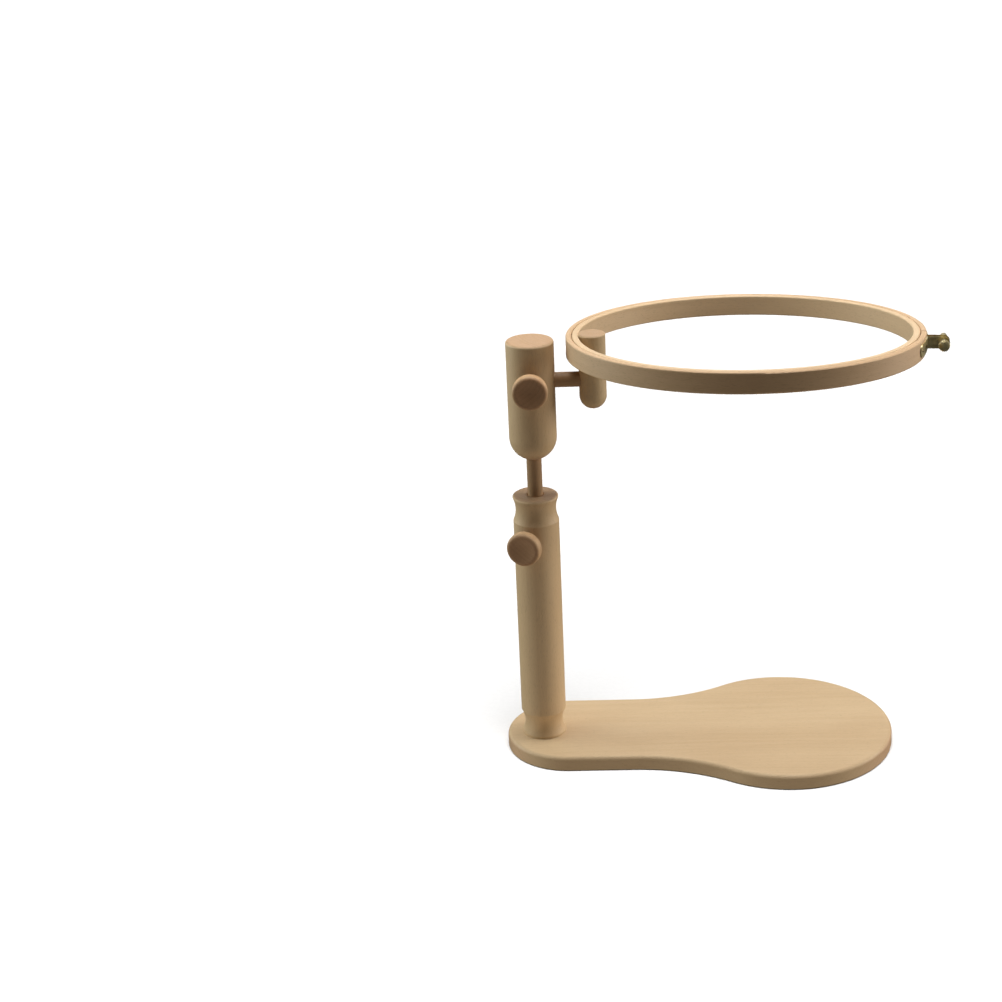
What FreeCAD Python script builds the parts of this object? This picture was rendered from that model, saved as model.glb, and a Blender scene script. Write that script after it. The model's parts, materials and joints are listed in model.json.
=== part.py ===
"""Embroidery hoop on a table stand, one STEP file per piece.

Millimetres, +Z up. While it is built, the post's axis is X = Y = 0, the base lies on Z = 0 and runs
towards +X, and the clamping knobs face -Y. Every piece is then shifted to the final origin, which is
the middle of the whole object's footprint, on the plane the base stands on.
"""
import FreeCAD, Part
import math
import os

# ---- driving dimensions ----

# base board: a flat paddle, narrow and round under the post, wide and round at the other end
BOARD_THICK = 12.0
NARROW_RADIUS = 49.0
NARROW_CENTRE = 20.0          # from the post's axis
WIDE_RADIUS = 84.0
WIDE_CENTRE = 190.0           # from the post's axis
WAIST_RADIUS = 136.0          # hollow sweep from the narrow part to the wide end
BOARD_SIDE_SHIFT = 1.5        # the board's centre line lies this far behind the post's axis
BOARD_TOP_ROUND = 3.0
BOARD_UNDER_ROUND = 1.5

# dowels
DOWEL_RADIUS = 17.5           # post
HEAD_RADIUS = 18.0
ROD_RADIUS = 5.75             # extension rod and hoop arm
POST_TOP = 214.0
HEAD_TOP = 336.5
HEAD_LENGTH = 93.5
HEAD_EDGE_ROUND = 2.0
ARM_HEIGHT = 305.2

# coves turned at both ends of the post
COVE_LENGTH = 20.5
COVE_LIP = 2.0
FOOT_NECK_RADIUS = 14.9
FOOT_LIP_RADIUS = 17.0
FLANGE_NECK_RADIUS = 15.5
FLANGE_LIP_RADIUS = 17.4
FLANGE_ROUND = 1.5
BORE_MOUTH = 1.0              # flare at the top of the post's bore

# clamping knobs with their studs and threaded bushes
KNOB_RADIUS = 13.2
KNOB_THICK = 9.0
KNOB_FACE_REACH = 32.7        # from the dowel's axis to the knob's rim
LOWER_KNOB_HEIGHT = 180.3
LOWER_KNOB_TURN = 18.5        # degrees from -Y towards -X
KNOB_BACK_ROUND = 2.2
KNOB_FACE_ROUND = 2.8
KNOB_RIM = 3.4                # from the knob's side to the dish in its face
KNOB_DISH = 1.3
STUD_RADIUS = 2.95
STUD_PITCH = 1.0
STUD_IN_KNOB = 6.0
BUSH_RADIUS = 4.5
BUSH_LENGTH = 10.0
BUSH_SUNK = 1.0               # outer end below the post's surface
BUSH_SLOT_WIDTH = 1.2
BUSH_SLOT_DEPTH = 1.5

# wood screw up through the base into the post
SCREW_HEAD = 4.6
SCREW_SHANK = 2.1
SCREW_LENGTH = 36.0
SCREW_RECESS = 0.6
SCREW_RIM = 0.4               # straight edge of a countersunk head

# hoop, in its own frame: origin on the arm's axis, X out along the arm, Z along the rings' axis
HOOP_TILT = -4.6              # degrees about the arm, near side up
HOOP_DROOP = 0.15             # degrees, far end down
HOOP_CENTRE = 158.2           # from the post's axis
HOOP_TOP = 33.8               # above the arm's axis
RING_HEIGHT = 15.3
INNER_RING_IN = 122.0
INNER_RING_OUT = 127.0
OUTER_RING_OUT = 131.5
RING_CORNER = 1.1
RING_SPLIT = 1.2
BLOCK_RADIUS = 10.2
BLOCK_CENTRE = 46.0           # from the post's axis
BLOCK_BELOW = 22.9            # lowest point of the dome, below the arm's axis
BLOCK_ABOVE = 35.4            # flat top, above the arm's axis
BLOCK_EDGE_ROUND = 1.2
PIN_SHANK = 1.2
PIN_HEAD = 2.4
PIN_LENGTH = 15.0
PIN_EDGE = 4.0                # pin axis from the ring's top or underside
PIN_SUNK = 0.2                # head below the ring's outer face

# brass clasp, in the band's own frame: as the hoop's, turned about the ring's axis so that X
# passes through the ring's split. The thumb screw lies along Y
CLASP_TURN = -8.0             # degrees from the side opposite the block, towards the knobs
PLATE_THICK = 0.8
PLATE_HEIGHT = 9.5
PLATE_LENGTH = 31.5
NAIL_PLACES = (11.5, 26.5)    # along each plate from its fold
NAIL_HEAD = 1.3
NAIL_SHANK = 0.6
NAIL_DOME = 0.55
NAIL_DEPTH = 3.4
SCREW_OFFSET = 12.3           # screw axis from the outer ring's face
SCREW_RADIUS = 1.6
SCREW_PITCH = 0.7
LUG_HALF = 4.3                # half the width of a lug, and the round at its end
SCREW_LUG_FACE = -4.5         # along Y, the face that looks at the ring's split
NUT_LUG_FACE = 1.5
BARREL_RADIUS = 2.5
BARREL_END = 17.0
BARREL_ROUND = 0.5
THUMB_RADIUS = 4.1
THUMB_LENGTH = 13.0
THUMB_DOME = 1.8
THUMB_EDGE = 1.1
COLLAR_RADIUS = 3.1
COLLAR_LENGTH = 5.5
THUMB_FLUTES = 18
FLUTE_RADIUS = 0.5
THUMB_SCREW_IN_KNOB = 7.0
THUMB_SCREW_SHORT = 4.0       # its tip inside the barrel's far end

THREAD_DEPTH = 0.54           # of the pitch

# clearances
RUNNING = 0.05                # radial, for a shaft that turns in a hole
SLIDING = 0.25                # radial, for the rod in the post
APART = 0.3                   # between faces that pass each other
HIDDEN_ROUND = 0.8            # small rounding on ends that are pushed into holes

# ---- derived positions ----

POST_BORE_FLOOR = 46.0
ROD_LOW = POST_TOP - 140.0
ROD_IN_HEAD = 34.0
ARM_START = -13.5
ARM_IN_BLOCK = 14.0
OUTER_RING_IN = INNER_RING_OUT + APART
HEAD_LOW = HEAD_TOP - HEAD_LENGTH
ROD_TOP = HEAD_LOW + ROD_IN_HEAD
ARM_END = BLOCK_CENTRE - BLOCK_RADIUS + ARM_IN_BLOCK
RING_LOW = HOOP_TOP - RING_HEIGHT
RING_MIDDLE = HOOP_TOP - RING_HEIGHT / 2
SCREW_X = HOOP_CENTRE + OUTER_RING_OUT + SCREW_OFFSET
KNOB_BACK_REACH = KNOB_FACE_REACH - KNOB_THICK
STUD_TIP = ROD_RADIUS + APART
STUD_END = KNOB_BACK_REACH + STUD_IN_KNOB
BUSH_OUTER_END = DOWEL_RADIUS - BUSH_SUNK
BUSH_INNER_END = BUSH_OUTER_END - BUSH_LENGTH
PIN_HEIGHTS = (RING_LOW + PIN_EDGE, HOOP_TOP - PIN_EDGE)
PIN_START = HOOP_CENTRE - INNER_RING_OUT + PIN_SUNK
THUMB_BACK = abs(SCREW_LUG_FACE) + PLATE_THICK + APART
THUMB_SCREW_END = THUMB_BACK + THUMB_SCREW_IN_KNOB
THUMB_SCREW_START = THUMB_SCREW_SHORT - BARREL_END
UP = FreeCAD.Vector(0, 0, 1)
AXIS = FreeCAD.Vector(0, 0, 0)
ALONG_X = FreeCAD.Vector(1, 0, 0)
ALONG_Y = FreeCAD.Vector(0, 1, 0)
LOWER_KNOB_AXIS = FreeCAD.Vector(-math.sin(math.radians(LOWER_KNOB_TURN)),
                                 -math.cos(math.radians(LOWER_KNOB_TURN)), 0)
UPPER_KNOB_AXIS = FreeCAD.Vector(0, -1, 0)
HOOP_AXIS_POINT = FreeCAD.Vector(HOOP_CENTRE, 0, 0)
HOOP_SEAT = FreeCAD.Vector(HOOP_CENTRE - INNER_RING_IN, 0, RING_MIDDLE)
HOOP_PLACE = (FreeCAD.Placement(FreeCAD.Vector(0, 0, ARM_HEIGHT),
                                FreeCAD.Rotation(ALONG_X, HOOP_TILT))
              * FreeCAD.Placement(AXIS, FreeCAD.Rotation(ALONG_Y, HOOP_DROOP), HOOP_SEAT))
BAND_PLACE = HOOP_PLACE * FreeCAD.Placement(AXIS, FreeCAD.Rotation(UP, CLASP_TURN),
                                            HOOP_AXIS_POINT)


# ---- shared shapes ----

def turned(outline):
    """Solid turned about Z. Each item is a (radius, height) point, or two of them for an arc
    through the first to the second. The outline closes itself."""
    def place(point):
        return FreeCAD.Vector(point[0], 0, point[1])

    edges = []
    last = outline[0]
    for item in outline[1:] + [outline[0]]:
        if isinstance(item[0], tuple):
            edges.append(Part.Arc(place(last), place(item[0]), place(item[1])).toShape())
            last = item[1]
        elif item != last:
            edges.append(Part.LineSegment(place(last), place(item)).toShape())
            last = item
    return Part.Face(Part.Wire(edges)).revolve(AXIS, UP, 360)


def corner(centre_r, centre_h, size, start, end):
    """Arc item for turned(): a quarter round about a centre, by its start and end angles."""
    middle = math.radians((start + end) / 2)
    finish = math.radians(end)
    return ((centre_r + size * math.cos(middle), centre_h + size * math.sin(middle)),
            (centre_r + size * math.cos(finish), centre_h + size * math.sin(finish)))


def cap(radius, edge_h, rise):
    """Arc item for turned(): from a rim in to the axis, on a ball centred on the axis. A negative
    rise makes a dish."""
    ball = (radius ** 2 + rise ** 2) / (2 * abs(rise))
    up = 1 if rise > 0 else -1
    centre_h = edge_h + rise - up * ball
    half_angle = math.asin(radius / ball) / 2
    return ((ball * math.sin(half_angle), centre_h + up * ball * math.cos(half_angle)),
            (0.0, edge_h + rise))


def peg(radius, low, high, round_low=0.0, round_high=0.0):
    """Round bar about Z with rounded ends."""
    outline = [(0.0, low), (radius - round_low, low)]
    if round_low:
        outline.append(corner(radius - round_low, low + round_low, round_low, -90, 0))
    outline.append((radius, high - round_high))
    if round_high:
        outline.append(corner(radius - round_high, high - round_high, round_high, 0, 90))
    outline.append((0.0, high))
    return turned(outline)


def domed_peg(radius, low, high, edge):
    """Round bar about Z with a half-ball at its lower end and a slightly rounded flat top."""
    return turned([(0.0, low), corner(0.0, low + radius, radius, -90, 0), (radius, high - edge),
                   corner(radius - edge, high - edge, edge, 0, 90), (0.0, high)])


def ring(inner, outer, low, high, round_size):
    """Ring about Z with a rounded rectangular section."""
    return turned([(inner + round_size, low), (outer - round_size, low),
                   corner(outer - round_size, low + round_size, round_size, -90, 0),
                   (outer, high - round_size),
                   corner(outer - round_size, high - round_size, round_size, 0, 90),
                   (inner + round_size, high),
                   corner(inner + round_size, high - round_size, round_size, 90, 180),
                   (inner, low + round_size),
                   corner(inner + round_size, low + round_size, round_size, 180, 270)])


def threaded(radius, low, high, pitch):
    """Threaded bar about Z, its thread drawn as a row of sharp rings."""
    root = radius - THREAD_DEPTH * pitch
    count = int((high - low) / pitch)
    outline = [(0.0, low), (root, low)]
    for turn in range(count):
        outline.append((radius, low + (turn + 0.5) * pitch))
        outline.append((root, low + (turn + 1.0) * pitch))
    outline.append((root, high + 0.1 * pitch))
    outline.append((0.0, high + 0.1 * pitch))
    return turned(outline)


def countersunk_screw(shank, head, length):
    """Wood screw along +Z: flat head face on Z = 0, cone, shank and point."""
    return turned([(0.0, 0.0), (head, 0.0), (head, SCREW_RIM), (shank, head - shank + SCREW_RIM),
                   (shank, length - 2 * shank), (0.0, length)])


def aimed(shape, origin, direction):
    """A shape built along +Z, laid from an origin along a direction."""
    place = FreeCAD.Placement(origin, FreeCAD.Rotation(UP, direction))
    return shape.transformed(place.toMatrix())


def hole(radius, origin, direction, length):
    """Cylinder to cut with."""
    return Part.makeCylinder(radius, length, origin, direction)


def in_hoop(shape):
    """From the hoop's own frame to the stand's."""
    return shape.transformed(HOOP_PLACE.toMatrix())


def in_band(shape):
    """From the outer ring's own frame, turned by the clasp's angle, to the stand's."""
    return shape.transformed(BAND_PLACE.toMatrix())


# ---- the stand ----

def board_outline():
    """Closed wire of the paddle: lines and tangent arcs, the same on both sides."""
    waist_y = NARROW_RADIUS + WAIST_RADIUS
    reach = WIDE_RADIUS + WAIST_RADIUS
    waist_x = WIDE_CENTRE - math.sqrt(reach ** 2 - waist_y ** 2)
    meet_angle = math.atan2(waist_y, waist_x - WIDE_CENTRE)

    def on_wide(angle):
        return (WIDE_CENTRE + WIDE_RADIUS * math.cos(angle), WIDE_RADIUS * math.sin(angle))

    def on_waist(angle):
        return (waist_x + WAIST_RADIUS * math.cos(angle), waist_y + WAIST_RADIUS * math.sin(angle))

    meet_from_waist = meet_angle - math.pi
    half_sweep = (-math.pi / 2 + meet_from_waist) / 2
    edges = []
    for side in (1, -1):
        points = [FreeCAD.Vector(x, BOARD_SIDE_SHIFT + side * y, 0) for x, y in (
            (NARROW_CENTRE - NARROW_RADIUS, 0.0),
            (NARROW_CENTRE - NARROW_RADIUS * math.sqrt(0.5), NARROW_RADIUS * math.sqrt(0.5)),
            (NARROW_CENTRE, NARROW_RADIUS),
            (waist_x, NARROW_RADIUS),
            on_waist(half_sweep),
            on_wide(meet_angle),
            on_wide(meet_angle / 2),
            (WIDE_CENTRE + WIDE_RADIUS, 0.0))]
        edges += [Part.Arc(*points[0:3]).toShape(),
                  Part.LineSegment(points[2], points[3]).toShape(),
                  Part.Arc(*points[3:6]).toShape(),
                  Part.Arc(*points[5:8]).toShape()]
    return Part.Wire(Part.__sortEdges__(edges))


def base_board():
    board = Part.Face(board_outline()).extrude(UP * BOARD_THICK)
    for height, size in ((BOARD_THICK, BOARD_TOP_ROUND), (0.0, BOARD_UNDER_ROUND)):
        rim = [edge for edge in board.Edges
               if all(abs(v.Point.z - height) < 0.01 for v in edge.Vertexes)]
        board = board.makeFillet(size, rim)
    return board.cut(hole(SCREW_HEAD, AXIS, UP, SCREW_RECESS)).cut(post_screw())


def post_screw():
    return aimed(countersunk_screw(SCREW_SHANK, SCREW_HEAD, SCREW_LENGTH),
                 UP * SCREW_RECESS, UP)


def bush_hole(height, direction):
    """Hole for a threaded bush and its stud, from the dowel's surface to the bore."""
    start = UP * height
    wide = hole(BUSH_RADIUS, start + direction * BUSH_INNER_END, direction, DOWEL_RADIUS)
    narrow = hole(STUD_RADIUS + APART, start, direction, DOWEL_RADIUS)
    return wide.fuse(narrow)


def post():
    low, high = BOARD_THICK, POST_TOP
    neck = COVE_LENGTH / 2 + COVE_LIP / 2
    body = turned([
        (0.0, low), (FOOT_LIP_RADIUS, low), (FOOT_LIP_RADIUS, low + COVE_LIP),
        ((FOOT_NECK_RADIUS, low + neck), (DOWEL_RADIUS, low + COVE_LENGTH)),
        (DOWEL_RADIUS, high - COVE_LENGTH),
        ((FLANGE_NECK_RADIUS, high - neck), (FLANGE_LIP_RADIUS, high - COVE_LIP)),
        corner(FLANGE_LIP_RADIUS - FLANGE_ROUND, high - FLANGE_ROUND, FLANGE_ROUND, 0, 90),
        (0.0, high)])
    bore_radius = ROD_RADIUS + SLIDING
    mouth_radius = bore_radius + BORE_MOUTH
    bore = turned([(0.0, POST_BORE_FLOOR), (bore_radius, POST_BORE_FLOOR),
                   (bore_radius, high - BORE_MOUTH), (mouth_radius, high),
                   (mouth_radius, high + BORE_MOUTH), (0.0, high + BORE_MOUTH)])
    return body.cut(bore).cut(post_screw()).cut(bush_hole(LOWER_KNOB_HEIGHT, LOWER_KNOB_AXIS))


def bush(height, direction):
    """Threaded brass bush set just under the dowel's surface, with a screwdriver slot."""
    sleeve = peg(BUSH_RADIUS, BUSH_INNER_END, BUSH_OUTER_END)
    sleeve = sleeve.cut(hole(STUD_RADIUS + RUNNING, UP * BUSH_INNER_END, UP, BUSH_LENGTH))
    slot = Part.makeBox(2 * BUSH_RADIUS, BUSH_SLOT_WIDTH, BUSH_SLOT_DEPTH,
                        FreeCAD.Vector(-BUSH_RADIUS, -BUSH_SLOT_WIDTH / 2,
                                       BUSH_OUTER_END - BUSH_SLOT_DEPTH))
    return aimed(sleeve.cut(slot), UP * height, direction)


def knob():
    """Turned knob about Z: rounded disc with a dished face, blind hole for the stud at its back."""
    back, face = KNOB_BACK_REACH, KNOB_FACE_REACH
    back_edge = KNOB_RADIUS - KNOB_BACK_ROUND
    face_edge = KNOB_RADIUS - KNOB_FACE_ROUND
    dish_radius = KNOB_RADIUS - KNOB_RIM
    body = turned([
        (0.0, back), (back_edge, back),
        corner(back_edge, back + KNOB_BACK_ROUND, KNOB_BACK_ROUND, -90, 0),
        (KNOB_RADIUS, face - KNOB_FACE_ROUND),
        corner(face_edge, face - KNOB_FACE_ROUND, KNOB_FACE_ROUND, 0, 90),
        (dish_radius, face), cap(dish_radius, face, -KNOB_DISH)])
    return body.cut(hole(STUD_RADIUS + RUNNING, UP * (back - 1.0), UP, STUD_END + APART - back + 1.0))


def stud():
    return threaded(STUD_RADIUS, STUD_TIP, STUD_END, STUD_PITCH)


def extension_rod():
    return peg(ROD_RADIUS, ROD_LOW, ROD_TOP, HIDDEN_ROUND, HIDDEN_ROUND)


def head():
    body = domed_peg(HEAD_RADIUS, HEAD_LOW, HEAD_TOP, HEAD_EDGE_ROUND)
    rod_hole = hole(ROD_RADIUS + RUNNING, UP * (HEAD_LOW - 1.0), UP, ROD_IN_HEAD + 1.0 + APART)
    arm_hole = hole(ROD_RADIUS + RUNNING, FreeCAD.Vector(ARM_START - 1.0, 0, ARM_HEIGHT),
                    ALONG_X, 2 * HEAD_RADIUS)
    return body.cut(rod_hole).cut(arm_hole).cut(bush_hole(ARM_HEIGHT, UPPER_KNOB_AXIS))


def hoop_arm():
    bar = peg(ROD_RADIUS, ARM_START, ARM_END, HIDDEN_ROUND, HIDDEN_ROUND)
    return aimed(bar, UP * ARM_HEIGHT, ALONG_X)


# ---- the hoop ----

def at_ring_centre(shape):
    return shape.translated(HOOP_AXIS_POINT)


def pins():
    """Two small countersunk screws through the inner ring into the block."""
    screw = countersunk_screw(PIN_SHANK, PIN_HEAD, PIN_LENGTH)
    return Part.makeCompound([aimed(screw, FreeCAD.Vector(PIN_START, 0, height), ALONG_X)
                              for height in PIN_HEIGHTS])


def pin_holes():
    """Cutter for the pins, run out past the ring's outer face."""
    outward = FreeCAD.Vector(-1, 0, 0)
    mouths = [hole(PIN_HEAD, FreeCAD.Vector(PIN_START, 0, height), outward, 2.0)
              for height in PIN_HEIGHTS]
    return mouths[0].multiFuse([mouths[1]] + pins().Solids)


def inner_ring():
    body = at_ring_centre(ring(INNER_RING_IN, INNER_RING_OUT, RING_LOW, HOOP_TOP, RING_CORNER))
    return in_hoop(body.cut(pin_holes()))


def hoop_block():
    """Short upright dowel, notched from the top to sit against the inner ring, bored for the arm."""
    body = domed_peg(BLOCK_RADIUS, ARM_HEIGHT - BLOCK_BELOW, ARM_HEIGHT + BLOCK_ABOVE,
                     BLOCK_EDGE_ROUND)
    body = body.translated(ALONG_X * BLOCK_CENTRE)
    notch_height = BLOCK_ABOVE
    low = UP * RING_LOW
    notch = Part.makeCylinder(INNER_RING_OUT, notch_height, low)
    notch = at_ring_centre(notch.cut(Part.makeCylinder(INNER_RING_IN, notch_height, low)))
    arm_hole = hole(ROD_RADIUS + RUNNING, UP * ARM_HEIGHT, ALONG_X, ARM_END + APART)
    return body.cut(in_hoop(notch)).cut(arm_hole).cut(in_hoop(pin_holes()))


def nail_angles():
    """Angle of each clasp nail about the ring's axis: two through each plate."""
    return [math.copysign(abs(fold) + along, fold) / OUTER_RING_OUT
            for fold in (SCREW_LUG_FACE, NUT_LUG_FACE) for along in NAIL_PLACES]


def nails():
    """Round-headed nails pointing at the ring's axis, from outside the clasp plates."""
    face = OUTER_RING_OUT + PLATE_THICK
    tip = face - NAIL_DEPTH
    nail = turned([(0.0, tip), (NAIL_SHANK, tip + 0.8), (NAIL_SHANK, face), (NAIL_HEAD, face),
                   cap(NAIL_HEAD, face, NAIL_DOME)])
    solids = []
    for angle in nail_angles():
        outward = FreeCAD.Vector(math.cos(angle), math.sin(angle), 0)
        solids.append(aimed(nail, HOOP_AXIS_POINT + UP * RING_MIDDLE, outward))
    return Part.makeCompound(solids)


def outer_ring():
    body = at_ring_centre(ring(OUTER_RING_IN, OUTER_RING_OUT, RING_LOW, HOOP_TOP, RING_CORNER))
    thick = OUTER_RING_OUT - OUTER_RING_IN
    split = Part.makeBox(3 * thick, RING_SPLIT, 2 * RING_HEIGHT,
                         FreeCAD.Vector(HOOP_CENTRE + OUTER_RING_IN - thick, -RING_SPLIT / 2,
                                        RING_MIDDLE - RING_HEIGHT))
    return in_band(body.cut(split).cut(nails()))


def clasp_plate(fold, lug_hole):
    """Thin plate bent round the ring from the fold, with a round far end and a lug that stands
    out square from the ring at the fold. Built on the +Y side and mirrored for a fold at -Y."""
    half = PLATE_HEIGHT / 2
    start = abs(fold)
    end = OUTER_RING_OUT * math.sin((start + PLATE_LENGTH) / OUTER_RING_OUT) - half
    inside = HOOP_CENTRE + OUTER_RING_OUT - half
    blank = Part.makeBox(3 * half, end - start, PLATE_HEIGHT, FreeCAD.Vector(inside, start, -half))
    blank = blank.fuse(hole(half, FreeCAD.Vector(inside, end, 0), ALONG_X, 3 * half))
    low_centre = HOOP_AXIS_POINT - UP * half
    sheet = hole(OUTER_RING_OUT + PLATE_THICK, low_centre, UP, PLATE_HEIGHT)
    sheet = sheet.cut(hole(OUTER_RING_OUT, low_centre, UP, PLATE_HEIGHT))
    lug_start = HOOP_CENTRE + math.sqrt(OUTER_RING_OUT ** 2 - start ** 2)
    lug = Part.makeBox(SCREW_X - lug_start, PLATE_THICK, 2 * LUG_HALF,
                       FreeCAD.Vector(lug_start, start, -LUG_HALF))
    lug = lug.fuse(hole(LUG_HALF, FreeCAD.Vector(SCREW_X, start, 0), ALONG_Y, PLATE_THICK))
    plate = sheet.common(blank).fuse(lug)
    plate = plate.cut(hole(lug_hole, FreeCAD.Vector(SCREW_X, 0, 0), ALONG_Y, PLATE_LENGTH))
    if fold < 0:
        plate = plate.mirror(AXIS, ALONG_Y)
    plate = plate.translated(UP * RING_MIDDLE).removeSplitter()
    return in_band(plate.cut(nails()))


def along_screw(shape):
    """A shape built along +Z, laid along the clasp screw, with +Z towards the thumb knob and Z = 0
    at the ring's split."""
    return in_band(aimed(shape, FreeCAD.Vector(SCREW_X, 0, RING_MIDDLE), FreeCAD.Vector(0, -1, 0)))


def threaded_barrel():
    tube = peg(BARREL_RADIUS, -BARREL_END, -NUT_LUG_FACE, BARREL_ROUND, 0.0)
    bore = hole(SCREW_RADIUS + RUNNING, UP * -BARREL_END, UP, BARREL_END)
    return along_screw(tube.cut(bore))


def thumb_screw():
    return along_screw(threaded(SCREW_RADIUS, THUMB_SCREW_START, THUMB_SCREW_END, SCREW_PITCH))


def thumb_knob():
    """Brass thumb knob: a plain collar against the lug and a fluted head with a domed end."""
    back = THUMB_BACK
    shoulder = back + COLLAR_LENGTH
    dome_edge = back + THUMB_LENGTH - THUMB_DOME
    inner = THUMB_RADIUS - THUMB_EDGE
    body = turned([
        (0.0, back), (COLLAR_RADIUS, back), (COLLAR_RADIUS, shoulder), (inner, shoulder),
        corner(inner, shoulder + THUMB_EDGE, THUMB_EDGE, -90, 0),
        (THUMB_RADIUS, dome_edge), cap(THUMB_RADIUS, dome_edge, THUMB_DOME)])
    flutes = []
    for index in range(THUMB_FLUTES):
        angle = 2 * math.pi * index / THUMB_FLUTES
        place = FreeCAD.Vector(THUMB_RADIUS * math.cos(angle), THUMB_RADIUS * math.sin(angle), shoulder)
        flutes.append(hole(FLUTE_RADIUS, place, UP, THUMB_LENGTH))
    socket = hole(SCREW_RADIUS + RUNNING, UP * back, UP, THUMB_SCREW_END + APART - back)
    return along_screw(body.cut(flutes).cut(socket))


# ---- all pieces ----

def pieces():
    low = UP * LOWER_KNOB_HEIGHT
    high = UP * ARM_HEIGHT
    return {
        "base_board": base_board(),
        "post": post(),
        "post_screw": post_screw(),
        "post_bush": bush(LOWER_KNOB_HEIGHT, LOWER_KNOB_AXIS),
        "lower_stud": aimed(stud(), low, LOWER_KNOB_AXIS),
        "lower_knob": aimed(knob(), low, LOWER_KNOB_AXIS),
        "extension_rod": extension_rod(),
        "head": head(),
        "head_bush": bush(ARM_HEIGHT, UPPER_KNOB_AXIS),
        "upper_stud": aimed(stud(), high, UPPER_KNOB_AXIS),
        "upper_knob": aimed(knob(), high, UPPER_KNOB_AXIS),
        "hoop_arm": hoop_arm(),
        "hoop_block": hoop_block(),
        "block_screws": in_hoop(pins()),
        "inner_ring": inner_ring(),
        "outer_ring": outer_ring(),
        "screw_plate": clasp_plate(SCREW_LUG_FACE, SCREW_RADIUS + APART),
        "nut_plate": clasp_plate(NUT_LUG_FACE, BARREL_RADIUS),
        "threaded_barrel": threaded_barrel(),
        "clasp_nails": in_band(nails()),
        "thumb_screw": thumb_screw(),
        "thumb_knob": thumb_knob(),
    }


def footprint_middle(shapes):
    """Middle of the whole object's box on the ground plane."""
    whole = FreeCAD.BoundBox()
    for shape in shapes.values():
        whole.add(shape.optimalBoundingBox(True, False))
    return FreeCAD.Vector(whole.Center.x, whole.Center.y, 0)


os.makedirs("parts", exist_ok=True)
SHAPES = pieces()
ORIGIN = footprint_middle(SHAPES)
for name, shape in SHAPES.items():
    shape.translated(ORIGIN * -1).exportStep(os.path.join("parts", name + ".step"))
    print(name, "valid" if shape.isValid() else "INVALID", len(shape.Solids), "solid(s)",
          round(shape.Volume / 1000, 2), "cm3")
print("origin", ORIGIN)
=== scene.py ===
"""Looks of the embroidery hoop on its stand: camera, studio and procedural materials.

Metres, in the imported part's own frame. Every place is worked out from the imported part's boxes and
joints, and the grain of each wooden piece is laid in that piece's own frame.
"""
import json
import math

import bpy
from mathutils import Euler, Matrix, Vector


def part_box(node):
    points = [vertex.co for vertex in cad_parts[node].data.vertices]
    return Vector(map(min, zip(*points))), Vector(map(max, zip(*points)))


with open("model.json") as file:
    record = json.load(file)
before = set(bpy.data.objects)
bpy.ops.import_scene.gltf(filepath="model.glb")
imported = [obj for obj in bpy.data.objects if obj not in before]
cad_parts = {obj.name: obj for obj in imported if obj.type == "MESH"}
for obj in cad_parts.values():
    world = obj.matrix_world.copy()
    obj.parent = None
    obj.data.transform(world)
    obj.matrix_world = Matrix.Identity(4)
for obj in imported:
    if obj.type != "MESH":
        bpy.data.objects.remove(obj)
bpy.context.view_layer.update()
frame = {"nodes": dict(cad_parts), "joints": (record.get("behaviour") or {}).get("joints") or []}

NODES = frame["nodes"]
JOINTS = {joint["name"]: joint for joint in frame["joints"]}


# ---- places taken from the part ----

def middle(node):
    low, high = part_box(node)
    return (low + high) / 2


def joint_axis(name):
    return Vector(JOINTS[name]["axis"])


X_AXIS = Vector((1, 0, 0))
Z_AXIS = Vector((0, 0, 1))
POST_FOOT = Vector((middle("post").x, middle("post").y, 0))
HOOP_NORMAL = joint_axis("band_lift")
RING_CENTRE = middle("inner_ring")
RING_RADIUS = (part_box("inner_ring")[1].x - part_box("inner_ring")[0].x) / 2


def from_ring_centre(node):
    """Direction of a node from the middle of the rings, in the rings' own plane."""
    way = middle(node) - RING_CENTRE
    return way - HOOP_NORMAL * way.dot(HOOP_NORMAL)


# ---- camera ----

CAMERA_FROM_POST = Vector((0.0572, -1.44385, 0.78907))
CAMERA_YAW = -3.313           # degrees to the right of +Y
CAMERA_PITCH = -21.854        # degrees above level
CAMERA_ROLL = -2.665          # degrees
CAMERA_LENS = 73.43           # millimetres
CAMERA_SENSOR = 36.0          # millimetres


def make_camera():
    data = bpy.data.cameras.new("camera")
    data.sensor_width = CAMERA_SENSOR
    data.lens = CAMERA_LENS
    camera = bpy.data.objects.new("camera", data)
    bpy.context.scene.collection.objects.link(camera)
    look = Euler((math.radians(90 + CAMERA_PITCH), 0, math.radians(-CAMERA_YAW))).to_matrix()
    turn = look @ Matrix.Rotation(math.radians(CAMERA_ROLL), 3, "Z")
    camera.matrix_world = Matrix.Translation(POST_FOOT + CAMERA_FROM_POST) @ turn.to_4x4()
    bpy.context.scene.camera = camera


# ---- shader building ----

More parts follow.
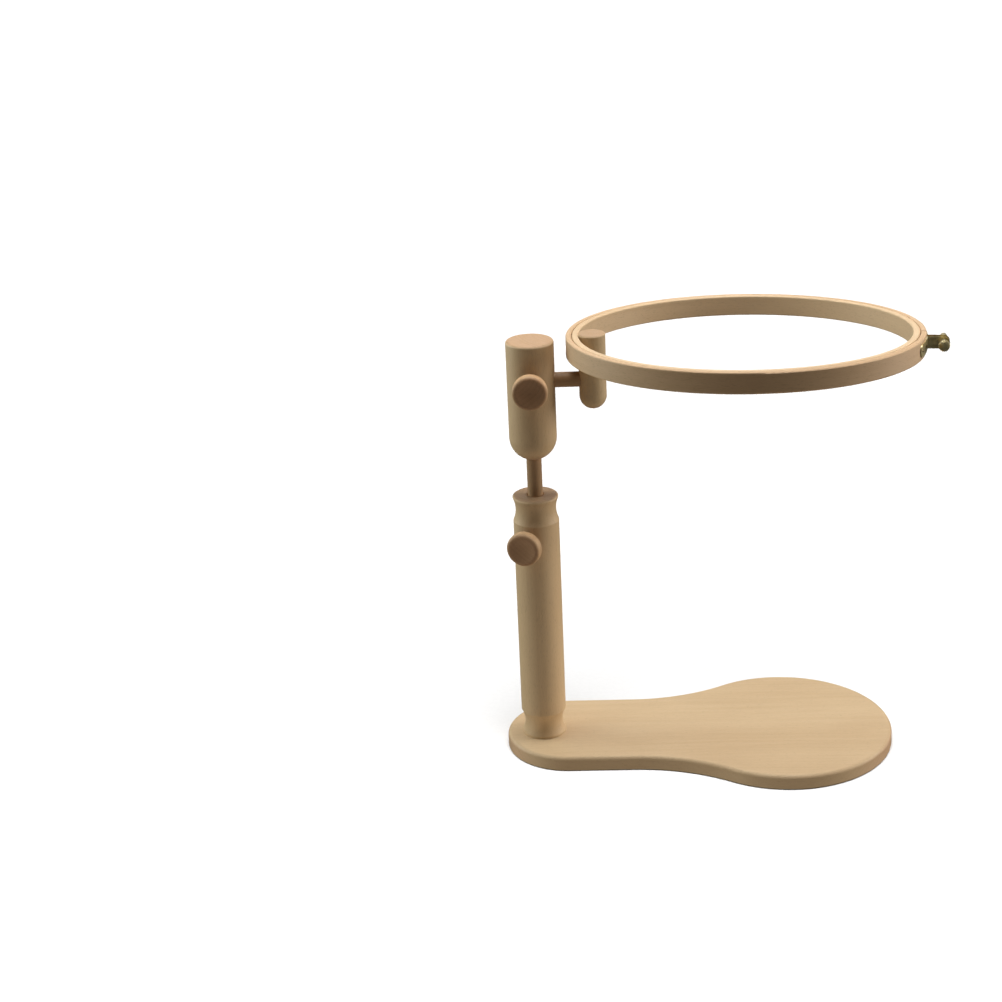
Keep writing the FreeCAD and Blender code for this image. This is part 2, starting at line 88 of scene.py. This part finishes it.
class Field:
    """A number or vector that varies over a surface: a shader socket with ordinary arithmetic."""

    def __init__(self, tree, socket):
        self.tree = tree
        self.socket = socket

    def node(self, kind, inputs, output=0, **settings):
        """Output of a new node in the same tree; inputs maps socket names to values or fields."""
        return add_node(self.tree, kind, inputs, output, **settings)

    def calc(self, operation, other=0.0, clamp=False):
        return self.node("ShaderNodeMath", {0: self, 1: other}, operation=operation, use_clamp=clamp)

    def __add__(self, other):
        return self.calc("ADD", other)

    def __sub__(self, other):
        return self.calc("SUBTRACT", other)

    def __mul__(self, other):
        return self.calc("MULTIPLY", other)

    def __truediv__(self, other):
        return self.calc("DIVIDE", other)

    def clamped(self):
        return self.calc("ADD", 0.0, clamp=True)

    def step(self, low, high, to_low=0.0, to_high=1.0):
        """Smooth rise from to_low to to_high as the field goes from low to high."""
        return self.node("ShaderNodeMapRange", {"Value": self, "From Min": low, "From Max": high,
                         "To Min": to_low, "To Max": to_high}, "Result",
                         interpolation_type="SMOOTHSTEP")

    def parts(self):
        """The three numbers of a vector."""
        split = self.tree.nodes.new("ShaderNodeSeparateXYZ")
        self.tree.links.new(self.socket, split.inputs[0])
        return [Field(self.tree, output) for output in split.outputs]

    def noise(self, scale, detail=2.0, roughness=0.5):
        return self.node("ShaderNodeTexNoise", {"Vector": self, "Scale": scale, "Detail": detail,
                         "Roughness": roughness}, "Fac")

    def tint(self, first, second):
        """Colour that goes from first to second as the field goes from 0 to 1."""
        mix = self.tree.nodes.new("ShaderNodeMix")
        mix.data_type = "RGBA"
        sockets = {socket.identifier: socket for socket in mix.inputs}
        plug(self.tree, self, sockets["Factor_Float"])
        plug(self.tree, first, sockets["A_Color"])
        plug(self.tree, second, sockets["B_Color"])
        result = next(socket for socket in mix.outputs if socket.identifier == "Result_Color")
        return Field(self.tree, result)


def plug(tree, value, socket):
    """Links a field to a socket, or sets the socket to a plain value."""
    if isinstance(value, Field):
        tree.links.new(value.socket, socket)
    else:
        socket.default_value = value


def add_node(tree, kind, inputs, output=0, **settings):
    node = tree.nodes.new(kind)
    for name, value in settings.items():
        setattr(node, name, value)
    for key, value in inputs.items():
        plug(tree, value, node.inputs[key])
    return Field(tree, node.outputs[output])


def coordinate(tree, output):
    """Object coordinates or the object's surface normal."""
    return add_node(tree, "ShaderNodeTexCoord", {}, output)


def vector(x, y, z):
    """Vector field from three numbers, of which the first is a field."""
    return x.node("ShaderNodeCombineXYZ", {0: x, 1: y, 2: z})


def rgb(red, green, blue):
    """Colour for a shader from screen values of 0 to 255."""
    return tuple(((value / 255 + 0.055) / 1.055) ** 2.4 for value in (red, green, blue)) + (1.0,)


def shade(colour, factor, tint=(1.0, 1.0, 1.0)):
    return tuple(channel * factor * share for channel, share in zip(colour, tint)) + (1.0,)


def new_material(name):
    material = bpy.data.materials.new(name)
    material.use_nodes = True
    return material, material.node_tree, material.node_tree.nodes["Principled BSDF"]


def finish_surface(tree, shader, colour, roughness, height, strength, depth):
    """Plugs colour, roughness and a bump of the given depth in metres into the shader."""
    bump = add_node(tree, "ShaderNodeBump", {"Height": height, "Strength": strength,
                    "Distance": depth})
    plug(tree, colour, shader.inputs["Base Color"])
    plug(tree, roughness, shader.inputs["Roughness"])
    plug(tree, bump, shader.inputs["Normal"])


# ---- wood ----

YEAR = 0.0031                 # metres of growth in a year
YEAR_WANDER = 0.016           # metres by which the growth lines stray
FIBRE_FREQUENCY = 2600.0      # per metre, across the grain
WOOD_BUMP = 0.00012           # metres
WOOD_GLOSS = 0.36             # specular level of bare sanded wood


def turned_to(tree, source, origin, along, side):
    """A vector field seen in a frame with X along, Z as near side as it can be."""
    x = along.normalized()
    z = (side - x * side.dot(x)).normalized()
    turn = Matrix((x, z.cross(x), z)).transposed().to_euler()
    return source.node("ShaderNodeMapping", {"Vector": source, "Location": origin,
                       "Rotation": turn}, vector_type="TEXTURE")


def straight_grain(node, along):
    """Space of a piece with straight grain: (along, side, up) and how squarely its surface cuts
    across the grain."""
    side = X_AXIS if abs(along.dot(Z_AXIS)) > 0.7 else Z_AXIS

    def space(tree):
        place = turned_to(tree, coordinate(tree, "Object"), middle(node), along, side)
        normal = turned_to(tree, coordinate(tree, "Normal"), Vector(), along, side)
        return place.parts(), normal.parts()[0].calc("ABSOLUTE")

    return space


def bent_grain(seam):
    """Space of a bent ring: round from the seam, out from the middle of the wall, and along the
    ring's axis. A bent strip shows no end grain."""
    def space(tree):
        place = turned_to(tree, coordinate(tree, "Object"), RING_CENTRE, seam * -1, HOOP_NORMAL)
        x, y, height = place.parts()
        angle = y.calc("ARCTAN2", x)
        radius = (x * x + y * y).calc("SQRT")
        return [angle * RING_RADIUS, radius - RING_RADIUS, height], None

    return space


def wood(name, space, light, dark, seed, pith, contrast=0.5, end_tone_and_shade=1.0, roughness=0.52):
    """Bare sanded beech: faint growth lines, soft streaks, short ray flecks and fine fibre along
    the grain, and rings, rays and pores where the surface cuts across it."""
    material, tree, shader = new_material(name)
    (along, side, up), across = space(tree)
    along = along + seed * 0.137

    def drawn_out(lengthwise, crosswise, detail=2.0, rough=0.5):
        """Noise stretched along the grain, with its two frequencies per metre."""
        place = vector(along * lengthwise, side * crosswise, up * crosswise)
        return place.noise(1.0, detail, rough)

    a = side - pith[0]
    b = up - pith[1]
    from_pith = (a * a + b * b).calc("SQRT")
    wander = drawn_out(4.0, 12.0, 3.0)
    years = (from_pith + wander * YEAR_WANDER) / YEAR
    phase = years.calc("FRACT")
    year_strength = vector(years.calc("FLOOR"), seed, 0.0).noise(0.77)
    late_wood = phase.step(0.30, 0.92) * phase.step(1.0, 0.92) * year_strength.step(0.25, 0.7)

    streaks = drawn_out(7.0, 170.0, 3.0, 0.6)
    patches = drawn_out(6.0, 17.0)
    fibre = drawn_out(150.0, FIBRE_FREQUENCY, 2.0, 0.6)
    flecks = drawn_out(330.0, 1700.0, 0.0).step(0.66, 0.75)

    cloudy = patches.step(0.3, 0.7)
    tone = (streaks.step(0.3, 0.7) * 0.22 + cloudy * 0.72 + late_wood * 0.18) * contrast
    colour = tone.clamped().tint(light, dark)
    colour = (flecks * (0.32 * contrast)).tint(colour, shade(dark, 0.55))
    colour = fibre.step(0.25, 0.75, 0.0, 0.12).tint(colour, shade(dark, 0.6))
    height = fibre * 0.5 - flecks * 0.8 - late_wood * 0.3

    if across is not None:
        cut = across.step(0.45, 0.96)
        pores = vector(side * FIBRE_FREQUENCY, up * FIBRE_FREQUENCY, seed).noise(1.0, 1.0)
        sector = b.calc("ARCTAN2", a)
        rays = vector(sector * 190.0, from_pith * 150.0, seed).noise(1.0)
        end_tone = late_wood * 0.16 + rays.step(0.4, 0.75) * 0.18 + pores.step(0.45, 0.75) * 0.24
        end_colour = (end_tone + cloudy * 0.2).clamped()
        end_grain = end_colour.tint(shade(light, end_tone_and_shade, END_TINT),
                                    shade(dark, 0.78 * end_tone_and_shade, END_TINT))
        colour = cut.tint(colour, end_grain)
        height = height - pores.step(0.5, 0.75) * cut * 0.7

    gloss = streaks.step(0.2, 0.8, roughness - 0.06, roughness + 0.07)
    finish_surface(tree, shader, colour, gloss, height, 0.35, WOOD_BUMP)
    shader.inputs["Specular IOR Level"].default_value = WOOD_GLOSS
    return material


END_TINT = (1.0, 0.89, 0.88)     # end grain is redder than the sides
BOARD = rgb(226, 197, 157), rgb(196, 160, 118)
TURNED = rgb(230, 199, 157), rgb(199, 164, 121)
BLOCK = rgb(218, 190, 149), rgb(188, 155, 113)
KNOB = rgb(212, 174, 132), rgb(178, 137, 96)
ROD = rgb(190, 153, 114), rgb(158, 120, 84)
ARM = rgb(180, 144, 106), rgb(148, 112, 78)
INNER_RING = rgb(234, 204, 165), rgb(206, 170, 127)
# The outer ring is coloured darker than the inner ring as painted shade: it is lowered for the outer
# ring's front wall, which gets little light, and darkens the whole ring.
OUTER_RING_WITH_PAINTED_SHADE = rgb(225, 190, 151), rgb(195, 157, 115)

# node: colours, direction of the grain, pith beside the piece's middle in metres, contrast, and
# how light its end grain is beside the rest
STRAIGHT_PIECES = {
    "base_board": (BOARD, X_AXIS, (0.012, -0.055), 0.45, 0.93),
    # The post's end grain is darker than the head's. This is partly end grain's own darker tone and
    # partly painted shade for the head's shadow on the post's flange top.
    "post": (TURNED, Z_AXIS, (0.050, 0.030), 0.50, 0.64),
    "head": (TURNED, Z_AXIS, (-0.030, 0.050), 0.50, 0.80),
    "extension_rod": (ROD, Z_AXIS, (0.030, 0.020), 0.50, 0.90),
    "hoop_arm": (ARM, X_AXIS, (0.030, 0.010), 0.50, 0.90),
    "hoop_block": (BLOCK, Z_AXIS, (0.030, -0.020), 0.50, 0.80),
    "lower_knob": (KNOB, joint_axis("lower_knob_turn"), (0.020, 0.030), 0.40, 0.78),
    "upper_knob": (KNOB, joint_axis("upper_knob_turn"), (-0.020, 0.020), 0.40, 0.80),
}
# node: colours, where its ends meet, pith
BENT_PIECES = {
    "inner_ring": (INNER_RING, from_ring_centre("hoop_block"), (0.030, 0.040)),
    "outer_ring": (OUTER_RING_WITH_PAINTED_SHADE, from_ring_centre("thumb_screw"), (0.040, -0.030)),
}


# ---- metal ----

METAL_BUMP = 0.00002          # metres
BRASS_NODES = ("screw_plate", "nut_plate", "threaded_barrel", "thumb_screw", "thumb_knob",
               "post_bush", "head_bush", "block_screws")
STEEL_NODES = ("post_screw", "lower_stud", "upper_stud")


def metal(name, bright, dull, roughness, scale=900.0):
    """Plated metal with fine handling marks, dulled in patches."""
    material, tree, shader = new_material(name)
    place = coordinate(tree, "Object")
    cloud = place.noise(scale * 0.25, 3.0, 0.6)
    brushed = place.node("ShaderNodeMapping", {"Vector": place, "Scale": (1.0, 6.0, 1.5),
                         "Rotation": (0.4, 0.2, 0.9)})
    marks = brushed.noise(scale)
    finish_surface(tree, shader, cloud.step(0.35, 0.75).tint(bright, dull),
                   marks.step(0.3, 0.75, roughness - 0.05, roughness + 0.10), marks, 0.05, METAL_BUMP)
    shader.inputs["Metallic"].default_value = 1.0
    return material


def dress(node, material):
    """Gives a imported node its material, in place of the plain one it came with."""
    slots = NODES[node].data.materials
    slots.clear()
    slots.append(material)


def dress_all():
    for seed, (node, (colours, along, *grain)) in enumerate(STRAIGHT_PIECES.items()):
        dress(node, wood(node + "_wood", straight_grain(node, along), *colours, seed, *grain))
    for seed, (node, (colours, seam, pith)) in enumerate(BENT_PIECES.items(), len(STRAIGHT_PIECES)):
        dress(node, wood(node + "_wood", bent_grain(seam), *colours, seed, pith))
    brass = metal("plated_brass", rgb(240, 224, 174), rgb(188, 170, 116), 0.32)
    steel = metal("zinc_steel", rgb(190, 190, 188), rgb(140, 140, 142), 0.34)
    dark_nail = metal("dark_nail", rgb(96, 78, 52), rgb(60, 46, 30), 0.42, 1600.0)
    for node in BRASS_NODES:
        dress(node, brass)
    for node in STEEL_NODES:
        dress(node, steel)
    dress("clasp_nails", dark_nail)


# ---- studio ----

FLOOR_SIDE = 30.0
BACKDROP_RADIUS = 14.0
PAPER_LIGHT_STRENGTH = 4.6
PAPER_LIGHT_SPREAD = 50.0     # degrees
MIDDLE_OF_OBJECT = (0.0, 0.0, 0.2)
# name: place, what it points at, two sides, watts, colour
SOFT_LIGHTS = {
    "overhead": ((0.0, 0.14, 1.35), (0.0, 0.0, 0.1), (1.0, 0.6), 12.9, (1.0, 1.0, 1.0)),
    "left": ((-1.3, 0.25, 0.55), MIDDLE_OF_OBJECT, (0.8, 0.9), 9.5, (0.90, 1.0, 0.98)),
    "right": ((1.3, 0.25, 0.55), MIDDLE_OF_OBJECT, (0.8, 0.9), 12.0, (0.97, 0.95, 0.9)),
    "behind": ((0.0, 1.7, 0.95), MIDDLE_OF_OBJECT, (1.4, 0.5), 2.6, (1.0, 1.0, 1.0)),
    "off_the_table": ((0.0, -0.32, 0.001), (0.0, -0.32, 1.0), (0.9, 0.6), 0.76, (1.0, 0.89, 0.76)),
}


def gathered(name, objects):
    """A collection outside the scene that only says which objects a light falls on."""
    collection = bpy.data.collections.new(name)
    for item in objects:
        collection.objects.link(item)
    return collection


def make_floor():
    """White paper floor. It takes shadows but throws no light up at the object and does not show
    in its polished parts, as if the object stood in a dark room on a small lit table."""
    bpy.ops.mesh.primitive_plane_add(size=FLOOR_SIDE, location=(0, 0, 0))
    floor = bpy.context.object
    floor.name = "floor"
    floor.visible_diffuse = False
    floor.visible_glossy = False
    material, tree, shader = new_material("floor_paper")
    tooth = coordinate(tree, "Object").noise(260.0, 4.0, 0.6)
    plug(tree, tooth.step(0.3, 0.7).tint((0.82, 0.82, 0.82, 1.0), (0.80, 0.80, 0.80, 1.0)),
         shader.inputs["Base Color"])
    shader.inputs["Roughness"].default_value = 0.9
    floor.data.materials.append(material)
    return floor


def make_backdrop():
    """Pale surround beyond the floor, seen directly but throwing no light and no shadow."""
    bpy.ops.mesh.primitive_uv_sphere_add(radius=BACKDROP_RADIUS, location=(0, 0, 0))
    backdrop = bpy.context.object
    backdrop.name = "backdrop"
    backdrop.visible_diffuse = False
    backdrop.visible_glossy = False
    backdrop.visible_shadow = False
    material, _, shader = new_material("backdrop_white")
    shader.inputs["Base Color"].default_value = (0.0, 0.0, 0.0, 1.0)
    shader.inputs["Emission Color"].default_value = (1.0, 1.0, 1.0, 1.0)
    shader.inputs["Emission Strength"].default_value = 1.0
    backdrop.data.materials.append(material)


def place_light(data, location, aim, shines_on):
    light = bpy.data.objects.new(data.name, data)
    bpy.context.scene.collection.objects.link(light)
    light.location = location
    light.rotation_euler = (Vector(aim) - Vector(location)).to_track_quat("-Z", "Y").to_euler()
    light.light_linking.receiver_collection = shines_on
    light.visible_camera = False
    return light


def soft_light(name, location, aim, sides, power, colour, shines_on):
    data = bpy.data.lights.new(name, "AREA")
    data.shape = "RECTANGLE"
    data.size, data.size_y = sides
    data.energy = power
    data.color = colour
    return place_light(data, location, aim, shines_on)


def make_world():
    world = bpy.data.worlds.new("studio")
    bpy.context.scene.world = world
    world.use_nodes = True
    background = world.node_tree.nodes["Background"]
    background.inputs["Color"].default_value = (1.0, 0.99, 0.93, 1.0)
    background.inputs["Strength"].default_value = 0.076


def make_lights(floor):
    """A wide sun for the floor alone, and soft lights for the object alone."""
    sun = bpy.data.lights.new("paper_light", "SUN")
    sun.energy = PAPER_LIGHT_STRENGTH
    sun.angle = math.radians(PAPER_LIGHT_SPREAD)
    place_light(sun, (0.0, -0.7, 2.0), (0.0, 0.0, 0.0), gathered("lit_paper", [floor]))

    pieces = gathered("lit_pieces", NODES.values())
    lights = {name: soft_light(name, *facts, pieces) for name, facts in SOFT_LIGHTS.items()}
    lights["off_the_table"].visible_glossy = False


make_camera()
make_world()
make_lights(make_floor())
make_backdrop()
dress_all()
bpy.context.scene.view_settings.view_transform = "Standard"
